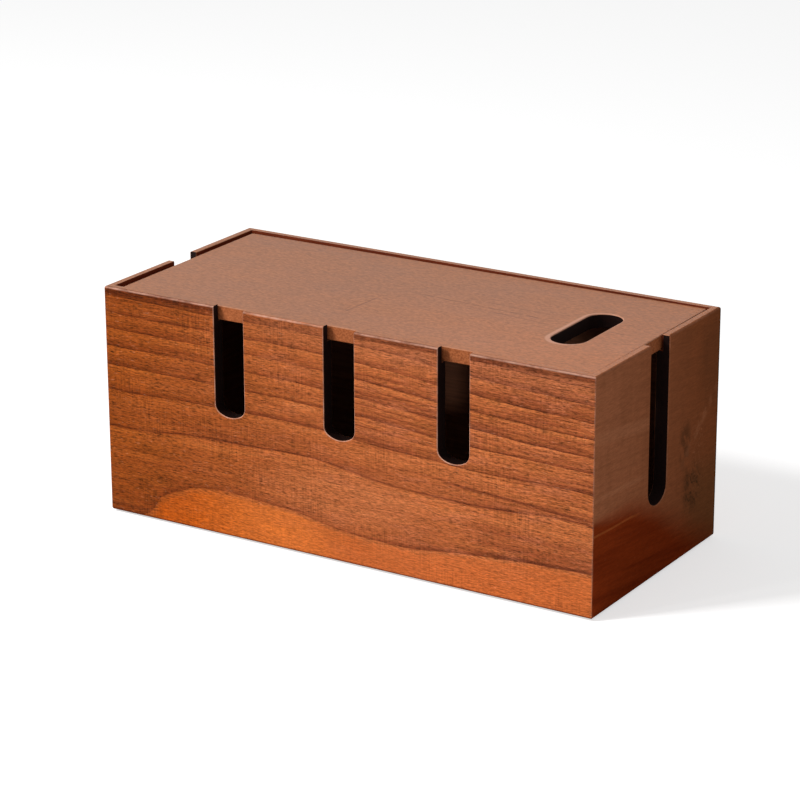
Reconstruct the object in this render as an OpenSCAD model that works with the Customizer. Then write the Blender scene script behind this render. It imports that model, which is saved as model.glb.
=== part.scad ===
// Wooden cable management box with a drop-in lid.
// Four mitred wall boards stand round a captured base. A rabbet along their tops leaves a thin rim
// and a ledge, and the loose lid lies on that ledge. Millimetres, +Z up, front towards -Y, origin
// on the ground under the middle of the box.

/* [Carcass] */
// Length of the box, from end to end
box_l = 305; // [240:1:400]
// Depth of the box, from front to back
box_w = 140; // [110:1:200]
// Height of the wooden carcass, without its feet
box_h = 130; // [110:1:180]
// Thickness of the four wall boards
wall_t = 8; // [7:0.5:12]
// Radius of the eased edges of the boards
edge_r = 1; // [0.4:0.1:1.5]
// Width of the bevel that eases the edges of the slots and of the finger hole
cut_ease = 0.6; // [0.2:0.1:1]

/* [Lid] */
// Thickness of the lid board
lid_t = 8; // [5:0.5:12]
// Width of the ledge that the lid lies on, cut into the wall boards
ledge_w = 3.5; // [2.5:0.1:5]
// How far the top of the lid lies below the top of the rim
lid_drop = 0.8; // [0.2:0.1:3]
// Gap between the lid and the rim at each end
lid_end_gap = 2.2; // [0.5:0.1:2.4]
// Gap between the lid and the rim along the front and along the back
lid_side_gap = 1.5; // [0.5:0.1:2.4]

/* [Finger hole] */
// Width of the hole in the lid
hole_w = 20; // [14:1:30]
// Length of the hole in the lid, over its round ends
hole_l = 58; // [32:1:80]
// Distance from the lid's right edge to the middle of the hole
hole_inset = 38; // [20:1:80]

/* [Front slots] */
// Number of cable slots in the front board
slot_count = 3; // [1:1:4]
// Width of a front slot
slot_w = 19; // [13:1:24]
// Depth of a front slot, from the top of the rim down
slot_d = 61.5; // [30:0.5:90]
// Distance from the middle of one front slot to the next
slot_pitch = 70; // [40:1:90]
// Radius of the two corners at the foot of a front slot
slot_corner_r = 5.5; // [3:0.5:6]
// Radius of the shallow arc between those corners
slot_sole_r = 13.5; // [12.5:0.5:30]

/* [End slots] */
// Width of the cable slot in each end board
end_slot_w = 21; // [19:1:22]
// Depth of an end slot, from the top of the rim down
end_slot_d = 90; // [40:0.5:105]
// Radius of the two corners at the foot of an end slot
end_slot_corner_r = 9; // [3:0.5:9]
// Radius of the arc between those corners
end_slot_sole_r = 11.5; // [11.5:0.5:30]

/* [Base] */
// Thickness of the base panel
base_t = 5; // [3:0.5:8]
// Height of the base's underside above the lower edges of the walls
base_lift = 4; // [3:0.5:8]
// Depth of the groove that holds the base
groove_d = 4; // [2.5:0.5:5]
// Gap between the base's edge and the bottom of its groove
base_play = 0.3; // [0.1:0.1:0.8]
// Gap above the base in its groove
groove_fit = 0.2; // [0.1:0.1:0.5]

/* [Corner splines] */
// Thickness of the loose tongue in each mitred corner
spline_t = 1.6; // [1:0.1:2.4]
// Width of a tongue, across the mitre
spline_w = 6; // [4:0.5:7]
// Distance from a tongue's middle to the inner faces of the walls
spline_inset = 3; // [2.5:0.1:3.5]
// Wood left between the top of a tongue and the lid's ledge
spline_stop = 8; // [4:1:30]
// Glue gap on each side of a tongue
spline_fit = 0.1; // [0.05:0.05:0.2]

/* [Feet] */
// Diameter of a rubber foot where it sticks to the base
foot_d = 12; // [8:1:20]
// How much narrower a foot is at the ground
foot_taper = 2; // [0.5:0.5:4]
// How far the feet stand out below the wall boards
foot_stand = 1.2; // [0.6:0.1:4]
// Radius of the lower edge of a foot
foot_edge_r = 0.8; // [0.2:0.1:1.5]
// Distance from the middle of a foot to the outer faces of the walls
foot_inset = 22; // [20:1:40]

/* [Hidden] */
$fn = 64;
LEFT = -1;
RIGHT = 1;
FRONT = -1;
BACK = 1;
// How far a cutter reaches past the wood it cuts
over = 1;
// Steps in each arc of a slot's foot
arc_steps = 8;
rim_t = wall_t - ledge_w;
ledge_z = box_h - lid_drop - lid_t;
lid_l = box_l - 2 * (rim_t + lid_end_gap);
lid_w = box_w - 2 * (rim_t + lid_side_gap);
hole_x = lid_l / 2 - hole_inset;
groove_h = base_t + groove_fit;
// Place of a tongue's middle, from the outer faces of both boards
spline_in = wall_t - spline_inset;
spline_h = ledge_z - spline_stop;
kerf_t = spline_t + 2 * spline_fit;
kerf_w = spline_w + 2 * spline_fit;
// The base's corners are nipped off along a line just inside the kerfs
base_l = box_l - 2 * (wall_t - groove_d + base_play);
base_w = box_w - 2 * (wall_t - groove_d + base_play);
base_nip = max(0, 2 * spline_in + sqrt(2) * (kerf_t / 2 + base_play) - 2 * (wall_t - groove_d + base_play));

WALNUT = "#a3562d";
WALNUT_END = "#6e3a22";
LID_BROWN = "#a9755c";
PLY = "#8a5a3c";
BEECH = "#c9a27a";
RUBBER = "#1d1c1b";

// ---- 2D outlines ----

// A rectangle from the origin into +X and +Y with its four corners rounded
module round_bar(w, h, r) {
    translate([r, 0]) square([w - 2 * r, h]);
    translate([0, r]) square([w, h - 2 * r]);
    for (x = [r, w - r], y = [r, h - r]) translate([x, y]) circle(r);
}

// Section of a wall board: outer face on the left, rim and ledge at the top, groove for the base
module wall_section() {
    difference() {
        union() {
            round_bar(wall_t, ledge_z, edge_r);
            round_bar(rim_t, box_h, edge_r);
        }
        translate([wall_t - groove_d, base_lift]) square([groove_d + over, groove_h]);
    }
}

// Plan of a wall board that runs along X at -across/2: mitred, with the box's corners eased
module wall_plan(run, across) {
    intersection() {
        translate([-run / 2, -across / 2]) round_bar(run, across, edge_r);
        translate([0, -across / 2])
            polygon([[-run / 2, 0], [run / 2, 0], [run / 2 - wall_t, wall_t], [wall_t - run / 2, wall_t]]);
    }
}

// Points of an arc of radius r about c, from one angle to another
function arc(c, r, from, to) =
    [for (i = [0 : arc_steps]) let (a = from + (to - from) * i / arc_steps) c + r * [cos(a), sin(a)]];

// Outline of a slot with its foot at the origin and its sides along +Y, grown outwards by grow. The
// foot is a three-centred arc: two corners, and a shallower sole that is tangent to both.
function slot_points(w, h, corner_r, sole_r, grow = 0) =
    let (corner_x = w / 2 - corner_r,
         half = asin(corner_x / (sole_r - corner_r)),
         spring = sole_r - (sole_r - corner_r) * cos(half))
    concat(
        [[-w / 2 - grow, h]],
        arc([-corner_x, spring], corner_r + grow, 180, 270 - half),
        arc([0, sole_r], sole_r + grow, 270 - half, 270 + half),
        arc([corner_x, spring], corner_r + grow, 270 + half, 360),
        [[w / 2 + grow, h]]);

// ---- cutters ----

// A 45 degree bevel between two outlines of as many points, from low at -cut_ease to high at cut_ease
module bevel(low, high) {
    n = len(low);
    polyhedron(
        [for (p = low) [p.x, p.y, -cut_ease], for (p = high) [p.x, p.y, cut_ease]],
        [[for (i = [0 : n - 1]) i],
         [for (i = [n - 1 : -1 : 0]) n + i],
         for (i = [0 : n - 1]) [i, n + i, n + (i + 1) % n, (i + 1) % n]]);
}

// A slot cutter: its foot at the origin, its length along +Y, the eased face at z = 0
module slot_cutter(w, h, corner_r, sole_r) {
    outline = slot_points(w, h, corner_r, sole_r);
    translate([0, 0, -over]) linear_extrude(wall_t + 2 * over) polygon(outline);
    bevel(slot_points(w, h, corner_r, sole_r, 2 * cut_ease), outline);
}

// A slot of depth d cut from the rim down, in the board that stands at -across/2
module wall_slot(x, across, w, d, corner_r, sole_r) {
    translate([x, -across / 2, box_h - d]) rotate([90, 0, 0]) mirror([0, 0, 1])
        slot_cutter(w, d + over, corner_r, sole_r);
}

// The bevel round one end of the finger hole, widest at -cut_ease
module ease_cone() {
    translate([0, 0, -cut_ease]) cylinder(h = 2 * cut_ease, r1 = hole_w / 2 + 2 * cut_ease, r2 = hole_w / 2);
}

// The bevel along the straight sides of the finger hole
module ease_trough(length) {
    wide = hole_w / 2 + 2 * cut_ease;
    narrow = hole_w / 2;
    translate([0, length / 2, 0]) rotate([90, 0, 0]) linear_extrude(length)
        polygon([[-wide, -cut_ease], [wide, -cut_ease], [narrow, cut_ease], [-narrow, cut_ease]]);
}

// The hole in the lid, with its upper and lower edges eased
module finger_hole() {
    straight = hole_l - hole_w;
    linear_extrude(lid_t + 2 * over, center = true) {
        square([hole_w, straight], center = true);
        for (end = [FRONT, BACK]) translate([0, end * straight / 2]) circle(hole_w / 2);
    }
    for (face = [0, 1]) mirror([0, 0, face]) translate([0, 0, -lid_t / 2]) {
        ease_trough(straight);
        for (end = [FRONT, BACK]) translate([0, end * straight / 2, 0]) ease_cone();
    }
}

// ---- pieces ----

// Everything of wood stands on the feet
module on_feet() {
    translate([0, 0, foot_stand]) children();
}

// A tongue, or the kerf for one, at one end of the board that runs along X at -across/2
module tongue(run, across, side, t, w, h) {
    translate([side * (run / 2 - spline_in), -across / 2 + spline_in, 0])
        rotate([0, 0, side * -45]) translate([-t / 2, -w / 2, 0]) cube([t, w, h]);
}

// A mitred wall board without slots, run along X at -across/2
module wall_board(run, across) {
    difference() {
        intersection() {
            translate([-run / 2, -across / 2, 0]) rotate([90, 0, 90]) linear_extrude(run) wall_section();
            linear_extrude(box_h) wall_plan(run, across);
        }
        for (side = [LEFT, RIGHT]) translate([0, 0, -over])
            tongue(run, across, side, kerf_t, kerf_w, spline_h + spline_fit + over);
    }
}

module front_panel() {
    color(WALNUT) on_feet() difference() {
        wall_board(box_l, box_w);
        for (i = [0 : slot_count - 1]) {
            x = (i - (slot_count - 1) / 2) * slot_pitch;
            wall_slot(x, box_w, slot_w, slot_d, slot_corner_r, slot_sole_r);
        }
    }
}

module back_panel() {
    color(WALNUT) on_feet() rotate([0, 0, 180]) wall_board(box_l, box_w);
}

// An end board, turned so that its outer face looks along +X or -X
module end_panel(side) {
    color(WALNUT_END) on_feet() rotate([0, 0, side * 90]) difference() {
        wall_board(box_w, box_l);
        wall_slot(0, box_l, end_slot_w, end_slot_d, end_slot_corner_r, end_slot_sole_r);
    }
}

// The base, in the grooves of all four walls
module base_panel() {
    a = base_l / 2;
    b = base_w / 2;
    n = base_nip;
    color(PLY) on_feet() translate([0, 0, base_lift]) linear_extrude(base_t)
        polygon([[-a + n, -b], [a - n, -b], [a, -b + n], [a, b - n],
                 [a - n, b], [-a + n, b], [-a, b - n], [-a, -b + n]]);
}

// The loose lid, at rest on the ledge
module lid() {
    color(LID_BROWN) on_feet() translate([0, 0, ledge_z]) difference() {
        intersection() {
            linear_extrude(lid_t) translate([-lid_l / 2, -lid_w / 2]) round_bar(lid_l, lid_w, edge_r);
            translate([-lid_l / 2, lid_w / 2, 0]) rotate([90, 0, 0])
                linear_extrude(lid_w) round_bar(lid_l, lid_t, edge_r);
            translate([-lid_l / 2, -lid_w / 2, 0]) rotate([90, 0, 90])
                linear_extrude(lid_l) round_bar(lid_w, lid_t, edge_r);
        }
        translate([hole_x, 0, lid_t / 2]) finger_hole();
    }
}

// A tongue glued into the kerfs of the two boards that meet at a corner
module corner_spline(side, end) {
    color(BEECH) on_feet() rotate([0, 0, end == FRONT ? 0 : 180])
        tongue(box_l, box_w, side * -end, spline_t, spline_w, spline_h);
}

// A tapered stick-on rubber foot under the base
module foot_pad(side, end) {
    foot_h = foot_stand + base_lift;
    ground_r = (foot_d - foot_taper) / 2;
    color(RUBBER) translate([side * (box_l / 2 - foot_inset), end * (box_w / 2 - foot_inset), 0])
        rotate_extrude() {
            square([ground_r - foot_edge_r, foot_edge_r]);
            intersection() {
                translate([ground_r - foot_edge_r, foot_edge_r]) circle(foot_edge_r);
                square([ground_r, foot_h]);
            }
            polygon([[0, foot_edge_r], [ground_r, foot_edge_r], [foot_d / 2, foot_h], [0, foot_h]]);
        }
}

front_panel();
back_panel();
end_panel(LEFT);  // left_end_panel
end_panel(RIGHT);  // right_end_panel
base_panel();
lid();
corner_spline(LEFT, FRONT);  // corner_spline_front_left
corner_spline(RIGHT, FRONT);  // corner_spline_front_right
corner_spline(LEFT, BACK);  // corner_spline_back_left
corner_spline(RIGHT, BACK);  // corner_spline_back_right
foot_pad(LEFT, FRONT);  // foot_pad_front_left
foot_pad(RIGHT, FRONT);  // foot_pad_front_right
foot_pad(LEFT, BACK);  // foot_pad_back_left
foot_pad(RIGHT, BACK);  // foot_pad_back_right
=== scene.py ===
# %% [markdown]
# # A wooden cable box, dressed for its portrait
# The box is four mitred boards round a captured base, with a loose lid that drops inside a thin rim.
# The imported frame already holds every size. This lesson builds the boards again with eased edges, and gives
# them their grain and their light. It reads from top to bottom: helpers, finishes, pieces, studio.

import math

import bmesh
import bpy
from mathutils import Matrix, Vector


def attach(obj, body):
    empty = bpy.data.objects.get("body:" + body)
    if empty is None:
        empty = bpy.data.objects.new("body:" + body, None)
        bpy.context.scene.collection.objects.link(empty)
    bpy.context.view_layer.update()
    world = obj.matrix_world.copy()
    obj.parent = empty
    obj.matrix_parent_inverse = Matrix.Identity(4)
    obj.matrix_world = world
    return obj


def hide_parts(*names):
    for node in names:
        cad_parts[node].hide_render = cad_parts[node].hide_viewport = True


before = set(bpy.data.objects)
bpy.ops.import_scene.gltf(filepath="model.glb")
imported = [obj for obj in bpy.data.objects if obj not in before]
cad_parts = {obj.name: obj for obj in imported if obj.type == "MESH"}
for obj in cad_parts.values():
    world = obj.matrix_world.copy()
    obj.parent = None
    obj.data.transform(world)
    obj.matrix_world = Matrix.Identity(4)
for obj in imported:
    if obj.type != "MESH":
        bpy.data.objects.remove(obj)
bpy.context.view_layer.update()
print("nodes in the frame:", sorted(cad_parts))

# %% [markdown]
# ## Sizes
# The boards are cut to the same sizes as the frame's solids. Everything is written in millimetres, as a
# joiner would, and MM turns it into Blender's metres where a mesh is made.

# %% Sizes of the boards and the lid
MM = 0.001
BOX_L, BOX_W, BOX_H = 305, 140, 130
WALL, RIM, LEDGE_Z = 8, 4.5, 121.2
LID_L, LID_W, LID_T = 291.6, 128, 8
CORNER_R, LID_CORNER_R = 1, 1.2
LID_SHIFT, LID_TURN_DEGREES = 1, 0.5
OVER = 1  # how far a cutter reaches past what it cuts, in mm
print("overall length and width in mm:", BOX_L, BOX_W)

# %% Sizes of the cuts
GROOVE_DEEP, GROOVE_LOW, GROOVE_HIGH = 4, 4, 9.2
FRONT_SLOT = {"count": 3, "pitch": 70, "width": 19, "depth": 61.5, "corner": 5.5, "sole": 13.5}
END_SLOT = {"count": 1, "pitch": 70, "width": 21, "depth": 90, "corner": 9, "sole": 11.5}
NO_SLOT = {**END_SLOT, "count": 0}
HOLE_W, HOLE_L, HOLE_X = 20, 58, 107.8
HOLE_STRAIGHT = (HOLE_L - HOLE_W) / 2
TONGUE_L, TONGUE_T, TONGUE_INSET, TONGUE_TOP = 6, 1.6, 5, 113.2
print("openings for cables:", FRONT_SLOT["count"] + 2 * END_SLOT["count"], "slots and a hole in the lid")

# %% Sizes of the feet
FOOT_STAND, FOOT_INSET = 1.2, 22
FOOT_R, FOOT_ROUND, FOOT_TOP = 5, 0.8, FOOT_STAND + GROOVE_LOW
print("overall height in mm:", BOX_H + FOOT_STAND)

# %% [markdown]
# ## A short way to write nodes
# Materials and Geometry Nodes are both trees of nodes. `add_node` adds one node and fills its inputs, and
# `Flow` lets sums and products of sockets read as a formula, so `2 * height + ripple` adds two Math nodes.
# `add_flow` adds a node and hands on what flows out of it. Numbers that are the same everywhere are still
# typed on the socket itself.

# %% Add one node
def add_node(tree, kind, inputs=None, **settings):
    """Adds a node. Inputs go by name or number, and take a number, a Flow, or a list of Flows."""
    node = tree.nodes.new(kind)
    for name, value in settings.items():
        setattr(node, name, value)
    for key, value in (inputs or {}).items():
        for one in value if isinstance(value, list) else [value]:
            if isinstance(one, Flow):
                tree.links.new(one.socket, node.inputs[key])
            else:
                node.inputs[key].default_value = one
    return node


# %% Sums and products of sockets
class Flow:
    """A value that flows through a node tree."""

    def __init__(self, tree, socket):
        self.tree, self.socket = tree, socket

    def math(self, operation, *values):
        return add_flow(self.tree, "ShaderNodeMath", dict(enumerate(values)), operation=operation)

    def __add__(self, other):
        return self.math("ADD", self, other)

    def __sub__(self, other):
        return self.math("SUBTRACT", self, other)

    def __rsub__(self, other):
        return self.math("SUBTRACT", other, self)

    def __mul__(self, other):
        return self.math("MULTIPLY", self, other)

    def __truediv__(self, other):
        return self.math("DIVIDE", self, other)

    def __pow__(self, other):
        return self.math("POWER", self, other)

    __radd__, __rmul__ = __add__, __mul__

    def fract(self):
        return self.math("FRACT", self)

    def whole(self):
        return self.math("FLOOR", self)

    def size(self):
        return self.math("ABSOLUTE", self)

    def sign(self):
        return self.math("SIGN", self)

    def above(self, other):
        return self.math("GREATER_THAN", self, other)

    def below(self, other):
        return self.math("LESS_THAN", self, other)

    def larger(self, other):
        return self.math("MAXIMUM", self, other)


def add_flow(tree, kind, inputs=None, output=0, **settings):
    """Adds a node and returns what flows out of it, from the output with this number or name."""
    return Flow(tree, add_node(tree, kind, inputs, **settings).outputs[output])


def split(vector):
    """The x, y and z of a vector."""
    node = add_node(vector.tree, "ShaderNodeSeparateXYZ", {0: vector})
    return [Flow(vector.tree, part) for part in node.outputs]


# %% Ramps, curves and clouds
def rise(value, low, high, smooth=True):
    """0 below low, 1 above high, and a smooth rise between them."""
    kind = "SMOOTHSTEP" if smooth else "LINEAR"
    return add_flow(value.tree, "ShaderNodeMapRange", {0: value, 1: low, 2: high}, interpolation_type=kind)


def drawn_curve(value, points, low, high):
    """Reads a curve drawn through (value, height) points. low and high are the least and greatest height."""
    first, last = points[0][0], points[-1][0]
    node = add_node(value.tree, "ShaderNodeFloatCurve", {"Value": (value - first) / (last - first)})
    line = node.mapping.curves[0]
    for i, (x, y) in enumerate(points):
        spot = ((x - first) / (last - first), (y - low) / (high - low))
        if i in (0, len(points) - 1):
            line.points[0 if i == 0 else -1].location = spot
        else:
            line.points.new(*spot)
    node.mapping.update()
    return Flow(value.tree, node.outputs[0]) * (high - low) + low


SEED_STEP_X, SEED_STEP_Y = 7.31, 3.7


def cloud(place, sizes, seed, detail=2.0, rough=0.5):
    """Smooth noise from about -1 to 1, whose blobs have the given size in mm along each direction."""
    tree = place[0].tree
    x, y, z = (p / s for p, s in zip(place, sizes))
    spot = {0: x + seed * SEED_STEP_X, 1: y + seed * SEED_STEP_Y, 2: z}
    inputs = {"Vector": add_flow(tree, "ShaderNodeCombineXYZ", spot), "Scale": 1.0}
    inputs.update({"Detail": detail, "Roughness": rough})
    return add_flow(tree, "ShaderNodeTexNoise", inputs) * 2 - 1


# %% Colours
def srgb(red, green, blue):
    """A colour as a picture editor shows it, 0 to 255, as the linear light that Blender wants."""
    shares = [c / 255 for c in (red, green, blue)]
    return (*[((s + 0.055) / 1.055) ** 2.4 if s > 0.04 else s / 12.92 for s in shares], 1)


def mix(amount, first, second, blend="MIX"):
    """Mixes two colours. The amount and the colours are Flows or fixed values."""
    tree = next(part.tree for part in (amount, first, second) if isinstance(part, Flow))
    inputs = {0: amount, 6: first, 7: second}
    return add_flow(tree, "ShaderNodeMix", inputs, output=2, data_type="RGBA", blend_type=blend)


def scaled(colour, amount):
    """Makes a colour lighter or darker by a factor."""
    return add_flow(colour.tree, "ShaderNodeVectorMath", {0: colour, "Scale": amount}, operation="SCALE")


def tones(value, stops):
    """Reads a colour ramp of (value, colour) stops."""
    node = add_node(value.tree, "ShaderNodeValToRGB", {0: value})
    for i, (spot, colour) in enumerate(stops):
        stop = node.color_ramp.elements[i] if i < 2 else node.color_ramp.elements.new(spot)
        stop.position, stop.color = spot, colour
    return Flow(value.tree, node.outputs[0])


# %% [markdown]
# ## Where a point lies on a board
# Wood grain runs along a board, so every finish first asks how far along, across and through the board a
# point is. Object coordinates serve for that, because each piece stands at its own place in the box, and its
# grain then carries on round the edges as it does in solid wood.

# %% A new finish and its three directions
def new_finish(name, along, across, through):
    """Starts a material. Returns it, its shader, and a point's place in mm in the board's directions."""
    material = bpy.data.materials.new(name)
    material.use_nodes = True
    tree = material.node_tree
    tree.nodes.clear()
    shader = tree.nodes.new("ShaderNodeBsdfPrincipled")
    output = tree.nodes.new("ShaderNodeOutputMaterial")
    tree.links.new(shader.outputs[0], output.inputs[0])
    parts = split(add_flow(tree, "ShaderNodeTexCoord", output="Object"))
    return material, shader, [parts["XYZ".index(axis)] / MM for axis in (along, across, through)]


# %% Write colour, roughness and relief into the shader
def set_finish(shader, colour, rough, relief, relief_mm):
    """Links a colour, a roughness and a relief, whose full height is relief_mm."""
    tree = colour.tree
    tree.links.new(colour.socket, shader.inputs["Base Color"])
    tree.links.new(rough.socket, shader.inputs["Roughness"])
    bump = add_node(tree, "ShaderNodeBump", {"Strength": 1.0, "Distance": relief_mm * MM, "Height": relief})
    tree.links.new(bump.outputs[0], shader.inputs["Normal"])


# %% [markdown]
# ## Walnut
# A growth ring shows on a sawn board as a band: pale early wood that darkens little by little to a thin
# line of late wood, and then jumps back to pale. That is a saw-tooth of the ring number. Over it lie long
# fibres, short dark pores, pale flecks painted as highlights where a pore would catch the light, and the
# planer's faint upright ripple.
# An image of real veneer would show all that too, but it would need unwrapping and would end at the edges.
# Each board's figure says how dark it is and which colours it has, and `walnut` adds the rest.

# %% Bands, patches and strokes
def growth_bands(ring, thin=8, soft=0.05):
    """0 just below a line and 1 on it: a slow ramp with a thin late-wood line at its foot."""
    lower = (1 - ring.fract()) * rise(ring.fract(), 0, soft)
    return 0.35 * lower**1.2 + 0.65 * lower**thin


def oval(u, v, centre, radii):
    """1 in the middle of an oval patch and 0 outside it."""
    x, y = (u - centre[0]) / radii[0], (v - centre[1]) / radii[1]
    return 1 - rise(x * x + y * y, 0.05, 1)


def ovals(u, v, rows):
    """Adds up oval patches. Each row is (strength, centre, radii)."""
    return sum(strength * oval(u, v, *row) for strength, *row in rows)


def stroke(u, v, start, end, width):
    """1 along a line from start to end, both (along, across) in mm, and 0 beside it."""
    length = math.dist(start, end)
    cos, sin = (end[0] - start[0]) / length, (end[1] - start[1]) / length
    forward = (u - start[0]) * cos + (v - start[1]) * sin
    aside = ((v - start[1]) * cos - (u - start[0]) * sin).size()
    fade = length * 0.25
    beside = 1 - rise(aside, width * 0.3, width)
    return beside * rise(forward, 0, fade) * (1 - rise(forward, length - fade, length))


def strokes(u, v, rows):
    """Adds up strokes. Each row is (strength, start, end, width)."""
    return sum(strength * stroke(u, v, *row) for strength, *row in rows)


# %% Fibres, pores and ripple
def fibres(place, seed):
    """Long streaks, short curls and a ripple (-1 to 1), and pores and flecks (0 to 1)."""
    u, v, w = place
    wavy = [u, v + 0.9 * cloud(place, (14, 7, 8), seed + 1), w]
    streaks = cloud(wavy, (55, 2.4, 4), seed + 2, detail=3, rough=0.6)
    fine = cloud(wavy, (14, 0.8, 1.3), seed + 3, rough=0.6)
    curls = rise(cloud(wavy, (3.4, 0.62, 1), seed + 4, rough=0.7), -0.33, 0.33) * 2 - 1
    dashes = cloud(wavy, (3.4, 0.7, 0.8), seed + 5, detail=1)
    rippled = rise(cloud(place, (45, 30, 30), seed + 7), -0.3, 0.5)
    ripple = cloud(place, (0.9, 16, 9), seed + 6, detail=1) * rippled
    pores, flecks = rise(dashes, 0.28, 0.6), rise(0 - dashes, 0.3, 0.62)
    return streaks, fine + 0.6 * curls, pores, flecks, ripple


# %% Where an edge is rubbed and painted with a highlight
def edge_rub_and_highlight(shader, place, seed):
    """How far an eased edge is painted paler, in patches: rubbed stain, and partly a painted highlight."""
    rubbed_and_lit = add_flow(shader.id_data, "ShaderNodeAttribute", output="Fac", attribute_name="rub")
    patches = rise(cloud(place, (6, 6, 6), seed, detail=3), -0.35, 0.35)
    return rubbed_and_lit * (0.35 + 0.65 * patches)


# %% One walnut finish from a board's figure
TONES = [(0.0, srgb(226, 137, 82)), (0.3, srgb(188, 105, 58)), (0.6, srgb(148, 76, 43)),
         (1.0, srgb(90, 42, 26))]
PAINTED_GLINT = srgb(228, 176, 146)
RELIEF_MM = 0.07


def walnut(name, axes, seed, figure, edge, gloss):
    """Builds a walnut finish. figure(place) gives its darkness, a rule that tints it, and its grain."""
    material, shader, place = new_finish(name, *axes)
    streaks, fine, pores, flecks, ripple = fibres(place, seed)
    darkness, tint, grain = figure(place)
    colour = tint(tones(darkness + grain * (0.24 * streaks + 0.1 * fine), TONES))
    # Pale flecks are painted highlights where a pore would catch the light.
    colour = scaled(colour, 1 + grain * (0.66 * fine - 0.2 * pores + 0.3 * flecks + 0.48 * ripple))
    colour = mix(0.12 * grain * flecks, colour, PAINTED_GLINT)
    # Eased edges are painted paler: rubbed-off stain, and partly a painted highlight on the rounding.
    rub_and_highlight = edge_rub_and_highlight(shader, place, seed + 8)
    colour = mix(rub_and_highlight, colour, edge)
    rough = 0.55 + 0.08 * fine + 0.12 * pores - 0.08 * rub_and_highlight
    relief = grain * (0.5 * fine - pores + 0.5 * flecks + 0.3 * ripple)
    set_finish(shader, colour, rough, relief, RELIEF_MM)
    shader.inputs["Specular IOR Level"].default_value = gloss
    return material


# %% [markdown]
# ## The front board's own figure
# The front is the show face: a flat-sawn board whose lines run nearly level, with a bright tongue of early
# wood along its foot. Noise alone would give some board, but not this one, so its rings are drawn as a curve
# from height to ring number. Two more curves say how high the tongue's edge and the middle line run along
# the board, and the wood near them is lifted or lowered to suit. Soft ovals and strokes then place what makes
# this board this board: a haze in the middle, a dark streak at the right, pale flashes between the slots.

# %% Heights of the lines on the front, in mm above the board's foot
FRONT_LINES = [-40, 21, 50, 70.8, 85, 96, 106, 114.9, 124.3, 133.2, 138.2, 147]
TONGUE_Z, TONGUE_FADE, MIDDLE_Z = 21, 44, 50
MIDDLE_FROM, MIDDLE_FULL, TOP_FROM, TOP_FULL = 30, 46, 52, 88
TONGUE_EDGE = [(0, -4), (24, 1), (35, 13), (50, 20), (64, 24), (80, 24.8), (98, 24.2), (122, 22.6),
               (138, 20), (152, 17.5), (170, 16), (190, 15.6), (208, 17.2), (238, 20.4), (262, 22.2),
               (286, 23.4), (305, 24)]
MIDDLE_LINE = [(0, 49.6), (24, 50.1), (40, 51.5), (56, 53.3), (98, 54.9), (128, 56), (140, 55.2),
               (152, 53.3), (168, 50.9), (184, 49.3), (210, 48.3), (238, 47.9), (254, 48.5), (270, 50),
               (286, 50.6), (305, 48.8)]
UPPER_FALL = [(0, 0.6), (60, 0.1), (120, 0), (140, -0.6), (168, -1.8), (188, -3), (208, -4.8), (238, -6.6),
              (270, -8.3), (305, -9.6)]


def front_level(along, height):
    """The height that a point would have if every line ran level."""
    foot_shift = [(x, (z - TONGUE_Z) / (1 - z / TONGUE_FADE)) for x, z in TONGUE_EDGE]
    middle_shift = [(x, z - MIDDLE_Z) for x, z in MIDDLE_LINE]
    near_foot = 1 - rise(height, 0, TONGUE_FADE, smooth=False)
    near_top = rise(height, TOP_FROM, TOP_FULL, smooth=False)
    near_middle = rise(height, MIDDLE_FROM, MIDDLE_FULL) * (1 - near_top)
    level = height - drawn_curve(along, foot_shift, -24, 12) * near_foot
    level = level - drawn_curve(along, middle_shift, -3, 7) * near_middle
    return level - drawn_curve(along, UPPER_FALL, -10, 1) * near_top


# %% Patches and strokes on the front, in mm from the board's left end and foot
BUSY_PATCHES = [(0.32, (190, 90), (60, 30)), (0.22, (275, 85), (70, 50))]
OLIVE_PATCHES = [(1, (34, 44), (24, 11)), (0.7, (34, 24), (26, 9))]
DARK_PATCHES = [(0.1, (268, 34), (50, 9)), (0.14, (79, 5), (9, 5))]
PALE_PATCHES = [(-0.06, (258, 72), (50, 16)), (-0.14, (128, 83), (14, 3)), (-0.08, (150, 34), (60, 15))]
DARK_STROKES = [(0.34, (205, 58.4), (315, 52.4), 1.2), (0.16, (-14, 5), (36, 3.8), 1.4)]


# %% How dark the front is
def front_darkness(place, along, height, level):
    """The bands of the drawn rings, the threads between them, and the darker streaks and corners."""
    u, _, w = place
    ring = drawn_curve(level, [(z, i) for i, z in enumerate(FRONT_LINES)], 0, len(FRONT_LINES) - 1)
    strength = 0.65 + 0.5 * cloud([u, ring.whole() * 13, w], (45, 1, 40), 13)
    upper, right = rise(height, 46, 62), rise(along, 150, 250)
    threads = growth_bands(level / 3.3 + 0.8 * cloud(place, (60, 5, 20), 14), 4, 0.1)
    busy = 0.08 + ovals(along, height, BUSY_PATCHES)
    crease = 1 - rise((level - 50.3).size(), 0.3, 1.1)
    lip = (1 - rise((level - 22.6).size(), 0.4, 1.5)) * rise(along, 180, 250)
    bands = growth_bands(ring, 10 + 9 * (1 - rise(level, 50, 72)), 0.02)
    darkness = 0.262 + bands * (0.22 + (0.46 + 0.12 * upper + 0.06 * right) * strength)
    darkness = darkness + threads * busy * upper + 0.22 * crease + 0.2 * lip
    darkness = darkness + 0.06 * right * rise(height, 88, 104)
    darkness = darkness + 0.16 * rise(height, 117, 126) * (1 - rise(along, 50, 110))
    darkness = darkness + ovals(along, height, DARK_PATCHES + PALE_PATCHES)
    return darkness + strokes(along, height, DARK_STROKES)


# %% The front's tints and painted shade
# The front is multiplied darker towards its left end: painted shade, as if a lamp at the right lit the right
# end more.
LEFT_PAINTED_SHADE = (0.57, 0.44, 0.175, 1)


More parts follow.
